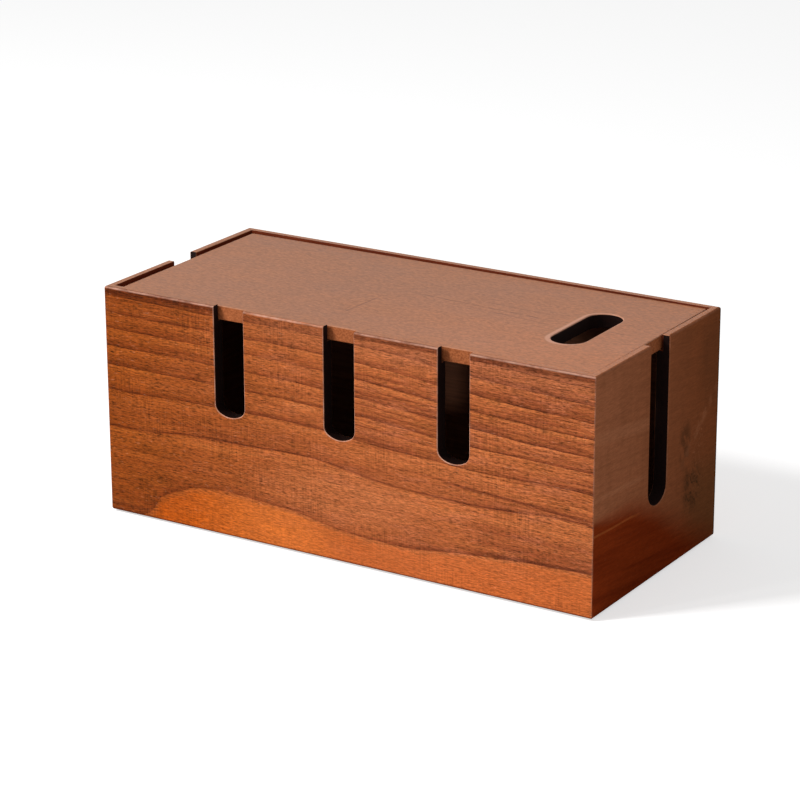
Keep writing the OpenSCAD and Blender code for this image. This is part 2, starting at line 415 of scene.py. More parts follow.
def front_figure(place):
    """Lays out the front: its lines, how dark it is, where it is golden, pink or olive, and painted shade."""
    along, above_foot = place[0] + BOX_L / 2, place[1] - FOOT_STAND
    height = above_foot + (0.8 * cloud(place, (80, 24, 30), 11) + 0.6 * cloud(place, (14, 5, 20), 12))
    level = front_level(along, height)
    soft = 1 - rise(along, 50, 130)
    tongue = 1 - rise(level + 1.2 * cloud(place, (12, 4, 9), 17), 18.9 - 3 * soft, 21.4 + 1.5 * soft)
    gold = mix(rise(along, 40, 105), srgb(224, 112, 34), srgb(232, 129, 60))
    gold = mix(rise(along, 115, 165), gold, srgb(204, 106, 52))
    patches = rise(cloud(place, (13, 6, 9), 15, detail=3), -0.3, 0.5)
    mottle = cloud(place, (22, 7, 20), 16, detail=3)
    olive = ovals(along, height, OLIVE_PATCHES)
    # A dark band just below the top edge and a dark line along the foot are painted shade.
    painted_shade_under_rim = rise(above_foot, 125.8, 127.2) * rise(cloud(place, (26, 3, 9), 18, detail=3), -0.6, 0)
    painted_shade_under_rim = painted_shade_under_rim * (1 - 0.7 * oval(along, height, (122, 128), (46, 40)))
    painted_foot_shade = 1 - rise(above_foot, 0.4, 1.8)

    def tint(colour):
        colour = mix(0.5 * rise(mottle, 0, 0.5), colour, srgb(186, 108, 72))
        colour = mix(0.35 * rise(0 - mottle, 0, 0.5) + 0.22 * olive, colour, srgb(148, 82, 36))
        colour = mix(0.35 * oval(along, height, (150, 36), (70, 20)), colour, srgb(186, 112, 74))
        colour = mix(0.4 * rise(height, 108, 127) * rise(along, 60, 120), colour, srgb(164, 100, 70))
        colour = mix(tongue * (0.6 + 0.25 * patches + 0.15 * (1 - rise(level, 4, 18))), colour, gold)
        # Painted shade below the top edge and along the foot.
        colour = mix(0.75 * painted_shade_under_rim + 0.8 * painted_foot_shade, colour, srgb(92, 40, 22))
        # Painted shade: darker towards the left end.
        return mix(1 - rise(along, -30, 230), colour, LEFT_PAINTED_SHADE, "MULTIPLY")

    grain = 1.3 - 0.25 * rise(along, 40, 170) + 0.2 * rise(along, 190, 240) - 0.45 * tongue
    return front_darkness(place, along, height, level), tint, grain


# %% The front finish
front_walnut = walnut("walnut_front", "XZY", 3, front_figure, srgb(226, 172, 148), 0.03)
print("made", front_walnut.name, "with", len(front_walnut.node_tree.nodes), "nodes")

# %% [markdown]
# ## The plainer boards
# The back comes from the same log as the front, so it has the same colours, but its rings are evenly spaced
# and only noise bends them. The ends are stained deeper. Their grain hardly shows, they grow darker towards
# the back, and above a sloping line a paler, greyer tone is painted on as a reflection of the bright room,
# with the dark red of the wood below it. That line is one more drawn curve, and the pale and dark marks
# beside it are strokes and ovals again, broken up by noise.

# %% The back board's figure
def back_figure(place):
    """Lays out the back: even rings, and a few warmer patches."""
    u, v, w = place
    bend = 16 * cloud(place, (210, 60, 80), 41) + 1.1 * cloud(place, (50, 9, 20), 42)
    uneven = 1.1 * cloud([u, v + 0.5 * bend, w], (900, 24, 200), 45, detail=1)
    ring = (v + 0.35 * w + bend) / 12 + uneven
    warm = rise(cloud(place, (120, 45, 60), 43), -0.4, 0.7)

    def tint(colour):
        return mix(warm * 0.4, colour, srgb(196, 104, 46))

    return 0.3 + growth_bands(ring) * (0.36 + 0.3 * cloud(place, (60, 30, 30), 44)), tint, 1.0


back_walnut = walnut("walnut_back", "XZY", 31, back_figure, srgb(212, 152, 126), 0.03)


# %% The marks on the end boards, in mm from the front edge and the foot
# The first row is the sloping line on the ends above which a paler, greyer tone is painted on as a reflection
# of the bright room.
REFLECTION_EDGE = [(0, 52), (20, 50.5), (40, 48), (60, 41), (80, 30), (95, 21), (110, 13), (125, 5), (140, -3)]
REFLECTION_EDGE_HIGH, REFLECTION_EDGE_LOW = 52, -3
PALE_STROKES = [(0.9, (-20, 100), (75, 86), 5), (0.9, (-20, 65), (64, 60), 2.2)]
BLOTCHES = [(1, (101, 64), (9, 18)), (1, (110, 38), (13, 18))]


def end_marks(place, depth, height):
    """How far the ends are paler, how far they are darker, and where a thin line glows."""
    u, v, w = place
    smudge = cloud([u + 0.5 * v, v - 0.5 * u, w], (6, 10, 12), 54, detail=3)
    back_stroke = 0.6 * stroke(depth, height, (94, 50), (144, 92), 3.5)
    pale = strokes(depth, height, PALE_STROKES) + back_stroke * rise(smudge, -0.2, 0.2)
    speckle = rise(cloud(place, (1.5, 1.8, 4), 55), 0.1, 0.5) * oval(depth, height, (117, 56), (13, 32))
    blotch = rise(smudge, -0.15, 0.15) * ovals(depth, height, BLOTCHES)
    specks = rise(cloud(place, (1.5, 1.8, 4), 57), 0.05, 0.3) * oval(depth, height, (112, 36), (16, 20))
    far_edge = rise(depth, 137.4, 139)
    ember = stroke(depth, height, (-16, 45.5), (56, 41.5), 1)
    return 0.5 * pale + 0.4 * speckle, 0.5 * blotch + 0.4 * specks + 0.6 * far_edge, ember


# %% The end boards' figure
def end_figure(place):
    """Lays out an end: darker to the back, a painted reflection above the drawn edge, and the marks on top.
    """
    u, v, w = place
    depth, height = u + BOX_W / 2, v - FOOT_STAND + 0.8 * cloud(place, (40, 20, 30), 52)
    reflection_edge = drawn_curve(depth, REFLECTION_EDGE, REFLECTION_EDGE_LOW, REFLECTION_EDGE_HIGH)
    below = reflection_edge - height + 2 * cloud(place, (30, 4, 9), 58, detail=3)
    below_reflection = rise(below / (4 + depth * 0.1), -1, 1)
    grain = cloud([u, height + 0.12 * depth, w], (90, 4, 9), 53, detail=3)
    upright = cloud(place, (7, 50, 9), 56)
    dim = oval(depth, height, (134, 104), (24, 34))
    olive = rise(depth, 92, 120) * (1 - rise(height, 30, 62))
    paler, darker, ember = end_marks(place, depth, height)

    def tint(colour):
        # Above the sloping line the end is painted paler and greyer, a painted reflection of the bright room;
        # below it the darker red of the wood shows.
        painted_reflection_tone = mix(rise(depth, 0, BOX_W), srgb(176, 110, 76), srgb(140, 78, 46))
        unreflected_red = mix(rise(grain, -0.4, 0.5), srgb(142, 53, 18), srgb(120, 41, 13))
        lines = 0.25 * rise(grain, -0.2, 0.6) + 0.2 * rise(upright, -0.2, 0.6)
        colour = mix(lines, mix(0.88, colour, painted_reflection_tone), srgb(122, 72, 44))
        colour = mix(0.5 * olive, colour, srgb(116, 78, 46))
        colour = mix(0.97 * below_reflection, colour, unreflected_red)
        colour = mix(0.35 * dim, colour, srgb(104, 64, 40))
        colour = mix(0.6 * ember, colour, srgb(176, 92, 46))
        return mix(paler, mix(darker, colour, srgb(72, 50, 32)), srgb(186, 120, 84))

    return 0.35 + 0.15 * grain, tint, 0.23


end_walnut = walnut("walnut_end", "YZX", 51, end_figure, srgb(180, 118, 88), 0.0)
print("made", back_walnut.name, "and", end_walnut.name)

# %% [markdown]
# ## The stained lid
# The lid's brown stain hides most of the grain. What is left is a faint streak along the board, a soft
# mottle where the stain went on, and a few long hairline scratches. A pale ring round the finger hole is a
# painted highlight along its edge, and the lid is painted lighter towards the front right as a pool of light.
# The ring follows the hole's own shape, so it is worked out from the distance to the hole's edge.

# %% Scratches, in mm from the lid's middle
SCRATCHES = [(1, (-16, 11), (98, 2), 0.9), (0.6, (30, 3), (96, -4), 0.9), (0.7, (112, 2), (142, 0), 0.9),
             (0.5, (24, 15), (92, 12), 0.9), (0.8, (-14, -2), (-16, -46), 0.9),
             (0.5, (-20, -16), (-17, -42), 1)]


def scratches(place):
    """The lid's scratches: one long one towards the finger hole, and short ones beside and beyond it."""
    bent = place[1] + 1.3 * cloud(place, (30, 12, 12), 94)
    lines = strokes(place[0], bent, SCRATCHES)
    return lines * rise(cloud(place, (5, 5, 5), 95, detail=3), -0.5, 0.4)


# %% The lid finish
LID_RELIEF_MM, LID_GLOSS = 0.03, 0.22
lid_stain, lid_shader, lid_place = new_finish("stained_lid", *"XYZ")
lid_x, lid_y = lid_place[:2]
lid_streaks = cloud(lid_place, (38, 1.3, 3), 91, detail=3, rough=0.6)
lid_mottle = cloud(lid_place, (50, 26, 26), 92, detail=4)
lid_dust = cloud(lid_place, (2.2, 1.2, 1), 93, detail=2)
lid_nicks = rise(cloud(lid_place, (3, 1.3, 1), 96, detail=1), 0.42, 0.7)
lid_scratches = scratches(lid_place)
# Lighter and warmer towards the front right: a painted pool of light. The rim takes this finish too.
lid_painted_light = rise(lid_x, -60, 130) * (1 - 0.6 * rise(lid_y, -50, 40))
lid_tone = rise(0.5 + 0.24 * lid_streaks + 0.6 * lid_mottle, 0, 1, smooth=False)
lid_colour = mix(lid_tone, srgb(157, 100, 67), srgb(177, 115, 78))
lid_colour = mix(0.75 * lid_painted_light, lid_colour, srgb(194, 121, 79))
lid_colour = scaled(lid_colour, 1 + 0.5 * lid_dust + 0.06 * lid_streaks)
lid_colour = mix(0.6 * lid_scratches + 0.2 * lid_nicks, lid_colour, srgb(84, 42, 26))
# The pale ring round the finger hole is a painted highlight along its edge; the eased edges add rubbed stain
# and a painted highlight.
past_straight = (lid_y.size() - HOLE_STRAIGHT).larger(0)
from_hole = ((lid_x - HOLE_X) ** 2 + past_straight**2) ** 0.5 - HOLE_W / 2
lid_rub_and_highlight = 0.7 * edge_rub_and_highlight(lid_shader, lid_place, 97) + 0.95 * (1 - rise(from_hole, 1, 2.1))
lid_colour = mix(lid_rub_and_highlight, lid_colour, srgb(212, 152, 122))
lid_relief = 0.5 * lid_streaks + 0.5 * lid_dust - 2 * lid_scratches - lid_nicks
lid_rough = 0.48 + 0.06 * lid_mottle + 0.05 * lid_streaks
set_finish(lid_shader, lid_colour, lid_rough, lid_relief, LID_RELIEF_MM)
lid_shader.inputs["Specular IOR Level"].default_value = LID_GLOSS

# %% [markdown]
# ## Small finishes
# Where a cutter has been, the stain soaks in and turns nearly black. The inside of the box got one thin coat
# of dark stain, the rabbet that the lid lies in has a redder finish, and the rim took the lid's brown. The
# lid's sawn edges stayed paler. The base is stained plywood, the tongues in the corners are raw beech, and
# the feet are matte rubber. None of these needs a figure, so one rule with a few numbers makes them all.

# %% A quiet finish from two colours
def quiet(name, axes, first, second, sizes, rough, relief_mm, seed, gloss):
    """A finish that wanders between two colours over blobs of the given sizes in mm."""
    material, shader, place = new_finish(name, *axes)
    grain = cloud(place, sizes, seed, detail=4, rough=0.6)
    colour = mix(rise(grain, -0.6, 0.6), srgb(*first), srgb(*second))
    set_finish(shader, colour, rough + 0.06 * grain, grain, relief_mm)
    shader.inputs["Specular IOR Level"].default_value = gloss
    return material


# name, axes, darkest and palest colour, blobs in mm, roughness, relief in mm, seed, gloss
QUIET_FINISHES = [
    ("cut_edge_stain", "XYZ", (14, 6, 5), (30, 12, 8), (2, 2, 1.2), 0.7, 0.03, 101, 0.08),
    ("inside_stain", "XYZ", (92, 54, 37), (120, 76, 52), (40, 40, 1.6), 0.7, 0.03, 105, 0.1),
    ("rabbet_stain", "XYZ", (92, 32, 13), (124, 52, 24), (30, 30, 1.6), 0.7, 0.03, 107, 0.1),
    ("lid_sawn_edge", "XYZ", (128, 66, 34), (186, 108, 64), (1.1, 1.1, 0.9), 0.7, 0.05, 109, 0.1),
    ("base_ply_stain", "XYZ", (92, 50, 30), (128, 74, 46), (40, 1.5, 3), 0.62, 0.03, 111, 0.3),
    ("raw_beech", "ZXY", (196, 150, 108), (216, 174, 132), (14, 0.8, 0.8), 0.6, 0.03, 121, 0.3),
    ("foot_rubber", "XYZ", (24, 23, 22), (38, 37, 36), (1.2, 1.2, 1.2), 0.78, 0.02, 131, 0.3),
]
quiet_finishes = [quiet(*row) for row in QUIET_FINISHES]
cut_stain, inside_stain, rabbet_stain, lid_edge, ply_stain, beech, rubber = quiet_finishes
print("finishes:", sorted(m.name for m in bpy.data.materials if m.node_tree))

# %% [markdown]
# ## The blank of a board
# A mitred board starts as its plan: straight outside, 45 degrees at each end, and the outer corners rounded
# where the glued box was sanded. Lifting that outline straight up gives the blank. A scaled cube would be
# quicker, but it has neither mitres nor rounded corners. The same `prism` makes the lid and the cutters.

# %% From a bmesh to an object
def piece_from(bm, name, finish):
    """Turns a bmesh into an object that has one finish."""
    mesh = bpy.data.meshes.new(name)
    bm.to_mesh(mesh)
    bm.free()
    mesh.materials.append(finish)
    piece = bpy.data.objects.new(name, mesh)
    bpy.context.collection.objects.link(piece)
    return piece


# %% Lift an outline into a prism
def prism(name, outline, height, finish, lift=(0, 0, 1)):
    """A solid from an outline of (x, y, z) points in mm, anticlockwise seen from its top."""
    bm = bmesh.new()
    low = [bm.verts.new(Vector(p) * MM) for p in outline]
    high = [bm.verts.new((Vector(p) + Vector(lift) * height) * MM) for p in outline]
    bm.faces.new(reversed(low))
    bm.faces.new(high)
    for i in range(len(low)):
        j = (i + 1) % len(low)
        bm.faces.new((low[i], low[j], high[j], high[i]))
    bmesh.ops.recalc_face_normals(bm, faces=bm.faces)
    return piece_from(bm, name, finish)


# %% Arcs and the plan of a mitred board
def arc(centre, radius, start, end, steps):
    """Points of an arc in a plane, angles in degrees."""
    turns = [math.radians(start + (end - start) * i / steps) for i in range(steps + 1)]
    return [(centre[0] + radius * math.cos(t), centre[1] + radius * math.sin(t)) for t in turns]


def board_plan(length):
    """Plan of a board along X whose outer face is y = 0, with the box's corners rounded up to the mitre."""
    half = length / 2
    left = arc((CORNER_R - half, CORNER_R), CORNER_R, 225, 270, 4)
    right = arc((half - CORNER_R, CORNER_R), CORNER_R, 270, 315, 4)
    inside = [(half - WALL, WALL), (WALL - half, WALL)]
    return [(x, y, 0) for x, y in left + right + inside]


# %% [markdown]
# ## The slot cutter
# A cable slot is a U whose foot is a three-centred arch: two corners, and a shallower sole that is tangent to
# both. A router with a shaped pass would leave that. The cutter is one prism that goes right through the
# board, and its own dark finish stays on the faces that it cuts.

# %% Draw the slot and lift it into a cutter
def slot_cutter(name, slot):
    """A cutter whose foot is at the origin and whose sides go up past the rim."""
    half, corner, sole = slot["width"] / 2, slot["corner"], slot["sole"]
    lean = math.degrees(math.asin((half - corner) / (sole - corner)))
    spring = sole - (sole - corner) * math.cos(math.radians(lean))
    foot = arc((corner - half, spring), corner, 180, 270 - lean, 8)
    foot += arc((0, sole), sole, 270 - lean, 270 + lean, 8)[1:-1]
    foot += arc((half - corner, spring), corner, 270 + lean, 360, 8)
    top = slot["depth"] + OVER
    outline = [(-half, top)] + foot + [(half, top)]
    return prism(name, [(x, -OVER, z) for x, z in outline], WALL + 2 * OVER, cut_stain, (0, 1, 0))


front_cutter = slot_cutter("front_slot_cutter", FRONT_SLOT)
end_cutter = slot_cutter("end_slot_cutter", END_SLOT)
print("slot cutter:", len(front_cutter.data.vertices), "corners")

# %% [markdown]
# ## One tree for all four boards
# Every wall is the same work: cut the rabbet that leaves rim and ledge, cut the groove for the base, and cut
# some slots at an even pitch. Geometry Nodes suit that, because the slots are copies on a line, and one tree
# with named inputs then makes the front with three slots, the ends with one and the back with none.

# %% The board tree's inputs
board_tree = bpy.data.node_groups.new("wall_board", "GeometryNodeTree")
board_tree.interface.new_socket("Board", in_out="INPUT", socket_type="NodeSocketGeometry")
SIZE_INPUTS = ["Length", "Height", "Thickness", "Rim", "Ledge", "Groove depth", "Groove low", "Groove high",
               "Tongue length", "Tongue thickness", "Tongue inset", "Tongue top", "Slot depth", "Slot pitch"]
FINISH_INPUTS = ["Board finish", "Inside finish", "Rabbet finish", "Rim finish", "Cut finish"]
for size_name in SIZE_INPUTS:
    board_tree.interface.new_socket(size_name, in_out="INPUT", socket_type="NodeSocketFloat")
board_tree.interface.new_socket("Slot count", in_out="INPUT", socket_type="NodeSocketInt")
board_tree.interface.new_socket("Slot cutter", in_out="INPUT", socket_type="NodeSocketObject")
for finish_name in FINISH_INPUTS:
    board_tree.interface.new_socket(finish_name, in_out="INPUT", socket_type="NodeSocketMaterial")
board_tree.interface.new_socket("Board", in_out="OUTPUT", socket_type="NodeSocketGeometry")
board_in = board_tree.nodes.new("NodeGroupInput")
board_out = board_tree.nodes.new("NodeGroupOutput")

# %% A box-shaped cutter between two corners
def box_between(tree, low, high):
    """A box from one corner to the other. Each corner is three Flows or numbers."""
    span = add_flow(tree, "ShaderNodeCombineXYZ", {i: high[i] - low[i] for i in range(3)})
    middle = add_flow(tree, "ShaderNodeCombineXYZ", {i: (high[i] + low[i]) * 0.5 for i in range(3)})
    cube = add_flow(tree, "GeometryNodeMeshCube", {"Size": span})
    return add_flow(tree, "GeometryNodeTransform", {"Geometry": cube, "Translation": middle})


# %% Rabbet and groove
value = {s.name: Flow(board_tree, s) for s in board_in.outputs if s.name}
reach = value["Length"] * 0.5 + OVER * MM
past_inside = value["Thickness"] + OVER * MM
past_rim = value["Height"] + OVER * MM
groove_floor = value["Thickness"] - value["Groove depth"]
rabbet = box_between(board_tree, (reach * -1, value["Rim"], value["Ledge"]), (reach, past_inside, past_rim))
groove = box_between(board_tree, (reach * -1, groove_floor, value["Groove low"]),
                     (reach, past_inside, value["Groove high"]))


# %% A kerf for the tongue at each end
def kerf(side):
    """The slot that a tongue fits in, across the mitre at the left (-1) or right (1) end."""
    half_l, half_t = value["Tongue length"] * 0.5, value["Tongue thickness"] * 0.5
    low, high = (half_l * -1, half_t * -1, OVER * -MM), (half_l, half_t, value["Tongue top"])
    block = box_between(board_tree, low, high)
    along = (value["Length"] * 0.5 - value["Tongue inset"]) * side
    spot = add_flow(board_tree, "ShaderNodeCombineXYZ", {0: along, 1: value["Tongue inset"]})
    inputs = {"Geometry": block, "Translation": spot, "Rotation": (0, 0, side * math.pi / 4)}
    return add_flow(board_tree, "GeometryNodeTransform", inputs)


# %% Slots at an even pitch
first = (value["Slot count"] - 1) * value["Slot pitch"] * -0.5
start = add_flow(board_tree, "ShaderNodeCombineXYZ", {0: first, 2: value["Height"] - value["Slot depth"]})
step = add_flow(board_tree, "ShaderNodeCombineXYZ", {0: value["Slot pitch"]})
inputs = {"Count": value["Slot count"], "Start Location": start, "Offset": step}
line = add_flow(board_tree, "GeometryNodeMeshLine", inputs)
cutter = add_flow(board_tree, "GeometryNodeObjectInfo", {"Object": value["Slot cutter"]}, output="Geometry")
slots = add_flow(board_tree, "GeometryNodeInstanceOnPoints", {"Points": line, "Instance": cutter})
slots = add_flow(board_tree, "GeometryNodeRealizeInstances", {"Geometry": slots})

# %% Take the cuts out of the board
cuts = {"Mesh 1": value["Board"], "Mesh 2": [rabbet, groove, kerf(-1), kerf(1), slots]}
cut = add_flow(board_tree, "GeometryNodeMeshBoolean", cuts, operation="DIFFERENCE", solver="EXACT")
whole = add_flow(board_tree, "GeometryNodeRealizeInstances", {"Geometry": cut})
is_cut = add_flow(board_tree, "GeometryNodeMaterialSelection", {"Material": value["Cut finish"]})
not_cut = 1 - is_cut


# %% Stain each face by where it looks
def paint(board, where, finish):
    """Gives one finish to the faces where a Flow is 1."""
    inputs = {"Geometry": board, "Selection": where, "Material": value[finish]}
    return add_flow(board_tree, "GeometryNodeSetMaterial", inputs)


SQUARE_ON, NEAR = 0.9, 0.1  # the least part of a normal that counts, and what counts as on a plane in mm
_, normal_y, normal_z = split(add_flow(board_tree, "GeometryNodeInputNormal"))
_, depth, height = split(add_flow(board_tree, "GeometryNodeInputPosition"))
looks_in, looks_up = normal_y.above(SQUARE_ON), normal_z.above(SQUARE_ON)
is_top = looks_up * height.above(value["Height"] - NEAR * MM)
in_rabbet = depth.below(value["Rim"] + NEAR * MM)
board = paint(whole, not_cut, "Board finish")
board = paint(board, not_cut * looks_in.larger(looks_up), "Inside finish")
board = paint(board, not_cut * looks_in * in_rabbet, "Rabbet finish")
board = paint(board, not_cut * is_top, "Rim finish")
board_tree.links.new(board.socket, board_out.inputs[0])
print("board tree:", len(board_tree.nodes), "nodes")

# %% [markdown]
# ## From modifier to mesh
# A modifier's inputs are set by the socket's identifier before the piece is first evaluated. The evaluated
# piece is then read back as a plain mesh, so nothing depends on the tree or the cutters any more.

# %% Run a tree on a piece and keep the result
def run_tree(piece, tree, values):
    """Gives the piece's mesh to the tree with these inputs, and replaces it by what comes out."""
    modifier = piece.modifiers.new("build", "NODES")
    modifier.node_group = tree
    for item in tree.interface.items_tree:
        if item.in_out == "INPUT" and item.name in values:
            modifier[item.identifier] = values[item.name]
    keep_result(piece)


def keep_result(piece):
    """Turns the modifiers' result into the piece's own mesh and takes the modifiers off."""
    bpy.context.view_layer.update()
    graph = bpy.context.evaluated_depsgraph_get()
    mesh = bpy.data.meshes.new_from_object(piece.evaluated_get(graph), depsgraph=graph)
    piece.modifiers.clear()
    piece.data = mesh
    mesh.name = piece.name


# %% [markdown]
# ## Easing the edges
# No joiner leaves an edge sharp. Each sharp edge gets a bevel weight by where it lies: the rim and the foot
# are sanded most, the slots less, and the mitres and the groove not at all. A Bevel modifier cuts them, and
# marks its faces with their own material number, which tells the finish where to paint the edge paler:
# rubbed stain, and partly a painted highlight on the rounding.
# Smooth shading would let those narrow faces bend the light on the wide flat ones, so a Weighted Normal
# modifier gives each corner the direction of its widest face.

# %% Weigh the edges and bevel them
EASE, EASE_STEPS = 1.3, 3
SHARP = 0.5  # the least angle in radians that is eased
WELD = 1e-6  # corners closer than this, in metres, become one
FLAT_WINS = 80  # how much more a wide face weighs than a narrow one when corners are shaded; 50 is even


def ease_edges(piece, weight, rub_and_highlight_rule, corner_rub_and_highlight=None):
    """Bevels each sharp outer edge by EASE mm times weight(a, b), and writes the painted rub and highlight.
    """
    mesh = piece.data
    bm = bmesh.new()
    bm.from_mesh(mesh)
    bmesh.ops.remove_doubles(bm, verts=bm.verts, dist=WELD)
    layer = bm.edges.layers.float.new("bevel_weight_edge")
    eased = 0
    for edge in bm.edges:
        if len(edge.link_faces) == 2 and edge.calc_face_angle(0) > SHARP and edge.is_convex:
            edge[layer] = weight(*[v.co / MM for v in edge.verts])
            eased += edge[layer] > 0
    bm.to_mesh(mesh)
    bm.free()
    marker = len(mesh.materials)
    mesh.materials.append(None)
    bevel = piece.modifiers.new("ease", "BEVEL")
    bevel.width, bevel.segments, bevel.limit_method = EASE * MM, EASE_STEPS, "WEIGHT"
    bevel.use_clamp_overlap, bevel.material = False, marker
    keep_result(piece)
    mark_rub_and_highlight(piece, marker, rub_and_highlight_rule, corner_rub_and_highlight)
    even = piece.modifiers.new("even", "WEIGHTED_NORMAL")
    even.keep_sharp, even.weight = True, FLAT_WINS
    keep_result(piece)
    print(f"{piece.name}: {eased} edges eased, {len(piece.data.polygons)} faces")


# %% Which finish an eased edge takes
def settle_marked(mesh, marker, rub_and_highlight_rule):
    """A paler-painted edge takes the board's own finish, and any other that of a plain face beside it."""
    beside = {}
    for face in mesh.polygons:
        for edge in face.edge_keys:
            beside.setdefault(edge, []).append(face)
    marked = [face for face in mesh.polygons if face.material_index == marker]
    while marked:
        for face in marked:
            near = [other.material_index for edge in face.edge_keys for other in beside[edge]]
            plain = [index for index in near if index != marker]
            if rub_and_highlight_rule(face.center / MM) > 0:
                face.material_index = 0
            elif plain:
                face.material_index = max(plain)
        marked = [face for face in marked if face.material_index == marker]


# %% Smooth over an eased edge, sharp elsewhere
def shade(mesh, sharp_from):
    """Shades smoothly over edges that bend less than this, in degrees."""
    mesh.shade_smooth()
    mesh.set_sharp_from_angle(angle=math.radians(sharp_from))


# %% Turn the marked faces into the painted rub and highlight
def mark_rub_and_highlight(piece, marker, rub_and_highlight_rule, corner_rub_and_highlight):
    """Painted rub and highlight: the edge rule mid-edge and 0 at its rim, or the corner rule if more."""
    mesh = piece.data
    linked = [[0, 0] for _ in mesh.vertices]
    for face in mesh.polygons:
        for v in face.vertices:
            linked[v][face.material_index == marker] += 1
    rub = mesh.attributes.new("rub", "FLOAT", "POINT")
    for v, (plain, marked) in enumerate(linked):
        place = mesh.vertices[v].co / MM
        extra = corner_rub_and_highlight(place) if corner_rub_and_highlight else 0.0
        rub.data[v].value = max(rub_and_highlight_rule(place) if marked and not plain else 0.0, extra)
    settle_marked(mesh, marker, rub_and_highlight_rule)
    mesh.materials.pop(index=marker)
    shade(mesh, 35)


# %% [markdown]
# ## The four walls
# One board could be made and copied, but the four differ in length, slots and finish, so `wall` builds each
# from the same tree. The weights are decided in the board's own place, before it is turned to its side of
# the box: the mitre planes lie where depth and distance from the end are equal, and there an edge stays
# sharp so that the corner closes.

# %% How much each edge of a wall is eased
RIM_AND_FOOT, OUTER, INNER = 0.9, 0.38, 0.28


def wall_weight(length):
    """Returns the weight rule for a board of this length."""
    tongue_spot = (length / 2 - TONGUE_INSET, TONGUE_INSET)

    def on_mitre(p):
        return abs(abs(p.x) + p.y - length / 2) < 0.02

    def weight(a, b):
        low, high = min(a.z, b.z), max(a.z, b.z)
        in_groove = min(a.y, b.y) > RIM - 0.01 and low > GROOVE_LOW - NEAR and high < GROOVE_HIGH + NEAR
        in_kerf = all(math.dist((abs(p.x), p.y), tongue_spot) < TONGUE_L for p in (a, b))
        if in_groove or in_kerf or (on_mitre(a) and on_mitre(b)):
            return 0.0
        if max(a.y, b.y) < 0.5:
            return RIM_AND_FOOT if low > BOX_H - NEAR or high < NEAR else OUTER
        return INNER

    return weight


# %% Build one wall and turn it to its side
PALE_EDGE_DEPTH, PALE_EDGE_FROM, PALE_EDGE_TO = 2, 1.4, BOX_H - 1.3  # which eased edges are painted paler, rubbed and highlighted: depth and heights in mm
RIM_RUB_AND_HIGHLIGHT, CORNER_RUB_AND_HIGHLIGHT = 0.7, 0.4  # against 1 for the slots' edges


def wall(name, length, across, turn, slot, cutter_piece, finish):
    """A wall whose outer face looks along -Y before it is turned by this angle about Z."""
    piece = prism(name, board_plan(length), BOX_H, finish)
    sizes = {"Length": length, "Height": BOX_H, "Thickness": WALL, "Rim": RIM, "Ledge": LEDGE_Z,
             "Groove depth": GROOVE_DEEP, "Groove low": GROOVE_LOW, "Groove high": GROOVE_HIGH,
             "Tongue length": TONGUE_L, "Tongue thickness": TONGUE_T, "Tongue inset": TONGUE_INSET,
             "Tongue top": TONGUE_TOP, "Slot depth": slot["depth"], "Slot pitch": slot["pitch"]}
    values = {key: size * MM for key, size in sizes.items()}
    values.update({"Slot count": slot["count"], "Slot cutter": cutter_piece, "Board finish": finish,
                   "Inside finish": inside_stain, "Rabbet finish": rabbet_stain, "Rim finish": lid_stain,
                   "Cut finish": cut_stain})
    run_tree(piece, board_tree, values)

    def rub_and_highlight_rule(place):
        if place.y > PALE_EDGE_DEPTH or place.z < PALE_EDGE_FROM:
            return 0.0
        return RIM_RUB_AND_HIGHLIGHT if place.z > PALE_EDGE_TO else 1.0

    # The box's vertical corners are painted paler too: rubbed stain, and partly a painted highlight.
    def corner_rub_and_highlight(place):
        near = (abs(place.x) - (length / 2 - CORNER_R)) / (CORNER_R * 0.7)
        return CORNER_RUB_AND_HIGHLIGHT * min(1.0, max(0.0, near)) if place.y < CORNER_R else 0.0

    ease_edges(piece, wall_weight(length), rub_and_highlight_rule, corner_rub_and_highlight)
    move = Matrix.Translation((0, -across / 2 * MM, FOOT_STAND * MM))
    piece.data.transform(Matrix.Rotation(math.radians(turn), 4, "Z") @ move)
    return piece


front = wall("front_board", BOX_L, BOX_W, 0, FRONT_SLOT, front_cutter, front_walnut)
back = wall("back_board", BOX_L, BOX_W, 180, NO_SLOT, end_cutter, back_walnut)
left = wall("left_end_board", BOX_W, BOX_L, -90, END_SLOT, end_cutter, end_walnut)
right = wall("right_end_board", BOX_W, BOX_L, 90, END_SLOT, end_cutter, end_walnut)

# %% [markdown]
# ## The lid
# The lid is one flat board. Its finger hole is a stadium, two half circles joined by straight sides. One hole
# in one board needs no tree, so a Boolean modifier cuts it, and every edge is then eased the same amount. A
# loose lid never lies quite square in its rim, so it is shifted and turned a little.

# %% Cut the lid and its finger hole
def rounded_plan(length, width, radius, steps=4):
    """Plan of a rectangle with rounded corners."""
    x, y = length / 2 - radius, width / 2 - radius
    corners = [((x, -y), 270), ((x, y), 0), ((-x, y), 90), ((-x, -y), 180)]
    points = [p for centre, start in corners for p in arc(centre, radius, start, start + 90, steps)]
    return [(px, py, 0) for px, py in points]


